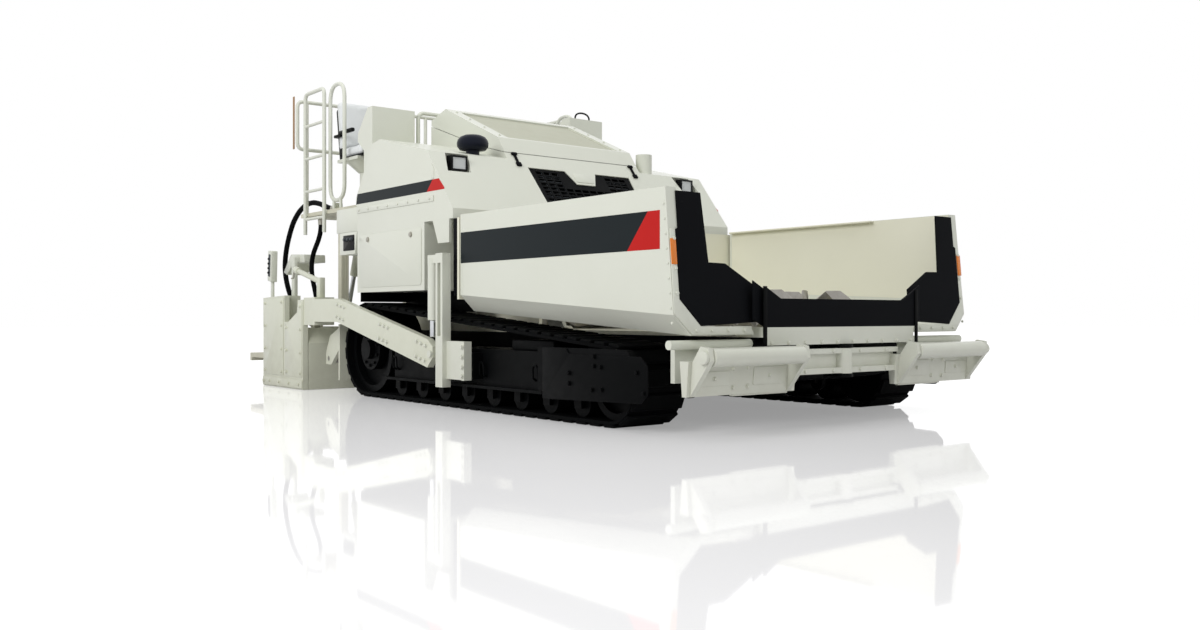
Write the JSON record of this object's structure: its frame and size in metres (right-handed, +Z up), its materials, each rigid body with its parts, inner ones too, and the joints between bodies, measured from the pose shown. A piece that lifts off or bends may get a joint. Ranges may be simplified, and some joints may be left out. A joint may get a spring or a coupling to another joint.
{
  "type": "tracked asphalt paver",
  "caption": "Tracked asphalt paver with folding hopper wings, feed and spreader augers, engine cowl, operator deck and a lifting screed with sliding extensions.",
  "frame": {"origin": "on the ground under the middle of the overall box", "axes": "+X forward to the push rollers, +Y to the machine's left, +Z up"},
  "size_m": [7.495, 3.46, 3.1248],
  "materials": {
    "cream_paint": "semi-gloss cream machine enamel",
    "hopper_paint": "warm cream enamel, satin",
    "tread_plate": "cream painted tread plate",
    "black_paint": "black chassis paint, satin",
    "track_rubber": "moulded black rubber",
    "flap_rubber": "flat black rubber sheet",
    "worn_steel": "worn cast flights",
    "rod_chrome": "ground and plated",
    "engine_iron": "painted casting",
    "black_plastic": "moulded black",
    "lamp_glass": "clear pressed glass",
    "seat_vinyl": "white vinyl"
  },
  "bodies": {
    "machine": {"main_frame": "cream_paint", "apron_plate": "cream_paint", "cowl_base": "cream_paint", "cowl": "cream_paint", "exhaust_stack": "cream_paint", "side_tanks": "cream_paint", "tail_housing": "cream_paint", "consoles": "cream_paint", "seat_pedestals": "cream_paint", "ladders": "cream_paint", "guard_rails": "cream_paint", "tow_posts": "cream_paint", "moldboard": "cream_paint", "hopper_floor": "hopper_paint", "bulkhead": "hopper_paint", "operator_deck": "tread_plate", "track_frames": "black_paint", "track_wheels": "black_paint", "grille": "black_paint", "track_belts": "track_rubber", "apron_rubber": "flap_rubber", "engine_block": "engine_iron", "headlamps": "black_plastic", "air_precleaner": "black_plastic", "lamp_lenses": "lamp_glass", "seats": "seat_vinyl"},
    "wing_right_body": {"wing_right": "cream_paint", "wing_flap_right": "flap_rubber"},
    "wing_left_body": {"wing_left": "cream_paint", "wing_flap_left": "flap_rubber"},
    "hood": {"hood_lid": "cream_paint"},
    "push_beam_body": {"push_beam": "cream_paint"},
    "push_roller_right_body": {"push_roller_right": "cream_paint"},
    "push_roller_left_body": {"push_roller_left": "cream_paint"},
    "feed_auger_outer_right_body": {"feed_auger_outer_right": "worn_steel"},
    "feed_auger_inner_right_body": {"feed_auger_inner_right": "worn_steel"},
    "feed_auger_inner_left_body": {"feed_auger_inner_left": "worn_steel"},
    "feed_auger_outer_left_body": {"feed_auger_outer_left": "worn_steel"},
    "spreader_right_body": {"spreader_auger_right": "worn_steel"},
    "spreader_left_body": {"spreader_auger_left": "worn_steel"},
    "screed": {"tow_arms": "cream_paint", "screed_main": "cream_paint"},
    "extension_right_body": {"extension_right": "cream_paint", "end_gate_right": "cream_paint", "walkway_right": "tread_plate"},
    "extension_left_body": {"extension_left": "cream_paint", "end_gate_left": "cream_paint", "walkway_left": "tread_plate"},
    "lift_barrel_right_body": {"lift_barrel_right": "cream_paint"},
    "lift_barrel_left_body": {"lift_barrel_left": "cream_paint"},
    "lift_rod_right_body": {"lift_rod_right": "rod_chrome"},
    "lift_rod_left_body": {"lift_rod_left": "rod_chrome"}
  },
  "joints": [
    {"name": "wing_right_fold", "type": "hinge", "parent": "machine", "child": "wing_right_body", "pos_m": [2.3925, -0.843, 0.655], "axis": [-1, 0, 0], "range_deg": [0, 50]},
    {"name": "wing_left_fold", "type": "hinge", "parent": "machine", "child": "wing_left_body", "pos_m": [2.3925, 0.843, 0.655], "axis": [1, 0, 0], "range_deg": [0, 50]},
    {"name": "hood_lift", "type": "hinge", "parent": "machine", "child": "hood", "pos_m": [-1.0015, 0, 2.665], "axis": [0, -1, 0], "range_deg": [0, 45]},
    {"name": "push_beam_swing", "type": "hinge", "parent": "machine", "child": "push_beam_body", "pos_m": [3.5225, 0, 0.45], "axis": [0, 0, 1], "range_deg": [-4, 4]},
    {"name": "push_roller_right_spin", "type": "hinge", "parent": "push_beam_body", "child": "push_roller_right_body", "pos_m": [3.6875, -1, 0.507], "axis": [0, 1, 0], "continuous": true},
    {"name": "push_roller_left_spin", "type": "hinge", "parent": "push_beam_body", "child": "push_roller_left_body", "pos_m": [3.6875, 1, 0.507], "axis": [0, 1, 0], "continuous": true},
    {"name": "feed_outer_right_spin", "type": "hinge", "parent": "machine", "child": "feed_auger_outer_right_body", "pos_m": [2.3925, -0.51, 0.82], "axis": [1, 0, 0], "continuous": true},
    {"name": "feed_inner_right_spin", "type": "hinge", "parent": "machine", "child": "feed_auger_inner_right_body", "pos_m": [2.3925, -0.17, 0.82], "axis": [1, 0, 0], "continuous": true},
    {"name": "feed_inner_left_spin", "type": "hinge", "parent": "machine", "child": "feed_auger_inner_left_body", "pos_m": [2.3925, 0.17, 0.82], "axis": [1, 0, 0], "continuous": true},
    {"name": "feed_outer_left_spin", "type": "hinge", "parent": "machine", "child": "feed_auger_outer_left_body", "pos_m": [2.3925, 0.51, 0.82], "axis": [1, 0, 0], "continuous": true},
    {"name": "spreader_right_spin", "type": "hinge", "parent": "machine", "child": "spreader_right_body", "pos_m": [-1.8175, -0.7, 0.33], "axis": [0, 1, 0], "continuous": true},
    {"name": "spreader_left_spin", "type": "hinge", "parent": "machine", "child": "spreader_left_body", "pos_m": [-1.8175, 0.7, 0.33], "axis": [0, 1, 0], "continuous": true},
    {"name": "screed_lift", "type": "hinge", "parent": "machine", "child": "screed", "pos_m": [0.6225, 0, 0.45], "axis": [0, 1, 0], "range_deg": [0, 6]},
    {"name": "extension_right_slide", "type": "slide", "parent": "screed", "child": "extension_right_body", "axis": [0, -1, 0], "range_m": [0, 0.6]},
    {"name": "extension_left_slide", "type": "slide", "parent": "screed", "child": "extension_left_body", "axis": [0, 1, 0], "range_m": [0, 0.6]},
    {"name": "lift_barrel_right_swing", "type": "hinge", "parent": "machine", "child": "lift_barrel_right_body", "pos_m": [-1.8575, -1.12, 1.64], "axis": [0, 1, 0], "range_deg": [0, 5.12]},
    {"name": "lift_rod_right_slide", "type": "slide", "parent": "lift_barrel_right_body", "child": "lift_rod_right_body", "axis": [0.3489, 0, 0.9371], "range_m": [0, 0.2878]},
    {"name": "lift_barrel_left_swing", "type": "hinge", "parent": "machine", "child": "lift_barrel_left_body", "pos_m": [-1.8575, 1.12, 1.64], "axis": [0, 1, 0], "range_deg": [0, 5.12]},
    {"name": "lift_rod_left_slide", "type": "slide", "parent": "lift_barrel_left_body", "child": "lift_rod_left_body", "axis": [0.3489, 0, 0.9371], "range_m": [0, 0.2878]}
  ],
  "couplings": [
    {"joint": "feed_inner_right_spin", "follows": "feed_outer_right_spin", "ratio": -1},
    {"joint": "feed_inner_left_spin", "follows": "feed_outer_left_spin", "ratio": -1},
    {"joint": "lift_barrel_right_swing", "follows": "screed_lift", "ratio": 0.85172},
    {"joint": "lift_rod_right_slide", "follows": "screed_lift", "m_per_rad": 2.7466},
    {"joint": "lift_barrel_left_swing", "follows": "screed_lift", "ratio": 0.85172},
    {"joint": "lift_rod_left_slide", "follows": "screed_lift", "m_per_rad": 2.7466}
  ]
}
